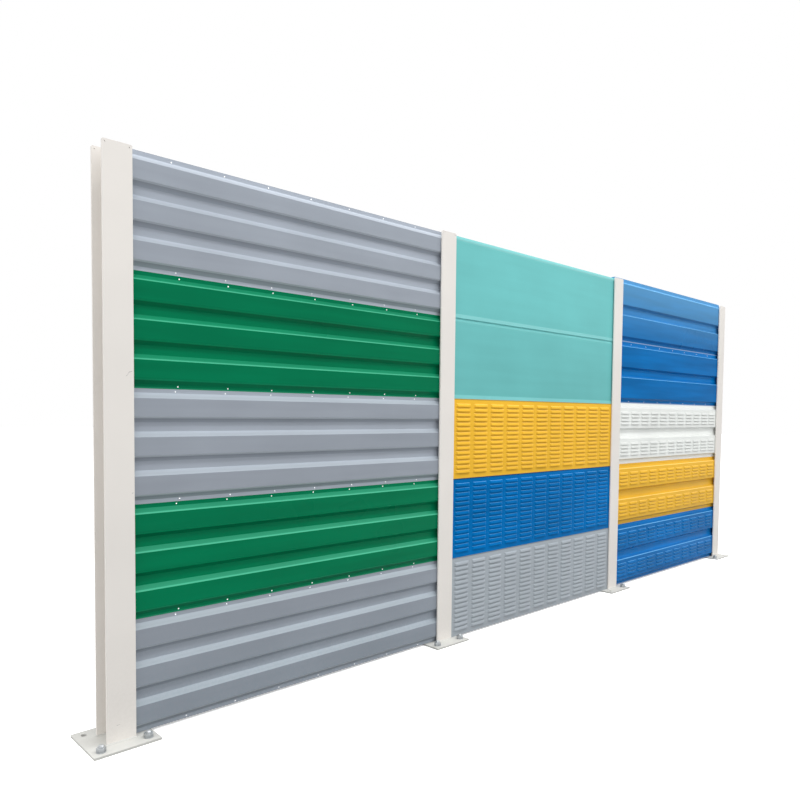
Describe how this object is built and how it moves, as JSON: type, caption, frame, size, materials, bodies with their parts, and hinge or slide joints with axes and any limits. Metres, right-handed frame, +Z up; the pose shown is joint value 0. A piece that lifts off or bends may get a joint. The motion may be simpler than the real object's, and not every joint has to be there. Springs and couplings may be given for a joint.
{
  "type": "noise barrier wall section",
  "caption": "Noise barrier wall section: steel H posts on base plates with stacked ribbed, flat and louvred metal cassette panels slotted between them.",
  "frame": {"origin": "centre of the underside of the first post's base plate, on the ground", "axes": "+X along the wall from the first post to the last, +Y away from the faced side, +Z up; the face with ridges and louvres looks to -Y"},
  "size_m": [6.285, 0.285, 2.5345],
  "materials": {
    "post_paint": "off-white paint, satin",
    "plate_paint": "off-white paint, satin",
    "panel_grey": "grey coil coating, gloss",
    "panel_green": "green coil coating, gloss",
    "panel_teal": "pale teal coil coating, satin",
    "panel_yellow": "yellow coil coating, gloss",
    "panel_blue": "blue coil coating, gloss",
    "panel_silver": "silver grey coil coating, satin",
    "panel_white": "white coil coating, gloss"
  },
  "bodies": {
    "root": {"post_1": "post_paint", "post_2": "post_paint", "post_3": "post_paint", "post_4": "post_paint", "base_plate_1": "plate_paint", "base_plate_2": "plate_paint", "base_plate_3": "plate_paint", "base_plate_4": "plate_paint", "bay_1_front_1": "panel_grey", "bay_1_front_2": "panel_green", "bay_1_front_3": "panel_grey", "bay_1_front_4": "panel_green", "bay_1_front_5": "panel_grey", "bay_2_front_1": "panel_silver", "bay_2_front_2": "panel_blue", "bay_2_front_3": "panel_yellow", "bay_2_front_4": "panel_teal", "bay_2_front_5": "panel_teal", "bay_3_front_1": "panel_blue", "bay_3_front_2": "panel_yellow", "bay_3_front_3": "panel_white", "bay_3_front_4": "panel_blue", "bay_3_front_5": "panel_blue", "bay_1_tray_1": "panel_grey", "bay_1_tray_2": "panel_green", "bay_1_tray_3": "panel_grey", "bay_1_tray_4": "panel_green", "bay_1_tray_5": "panel_grey", "bay_2_tray_1": "panel_silver", "bay_2_tray_2": "panel_blue", "bay_2_tray_3": "panel_yellow", "bay_2_tray_4": "panel_teal", "bay_2_tray_5": "panel_teal", "bay_3_tray_1": "panel_blue", "bay_3_tray_2": "panel_yellow", "bay_3_tray_3": "panel_white", "bay_3_tray_4": "panel_blue", "bay_3_tray_5": "panel_blue"}
  },
  "joints": []
}
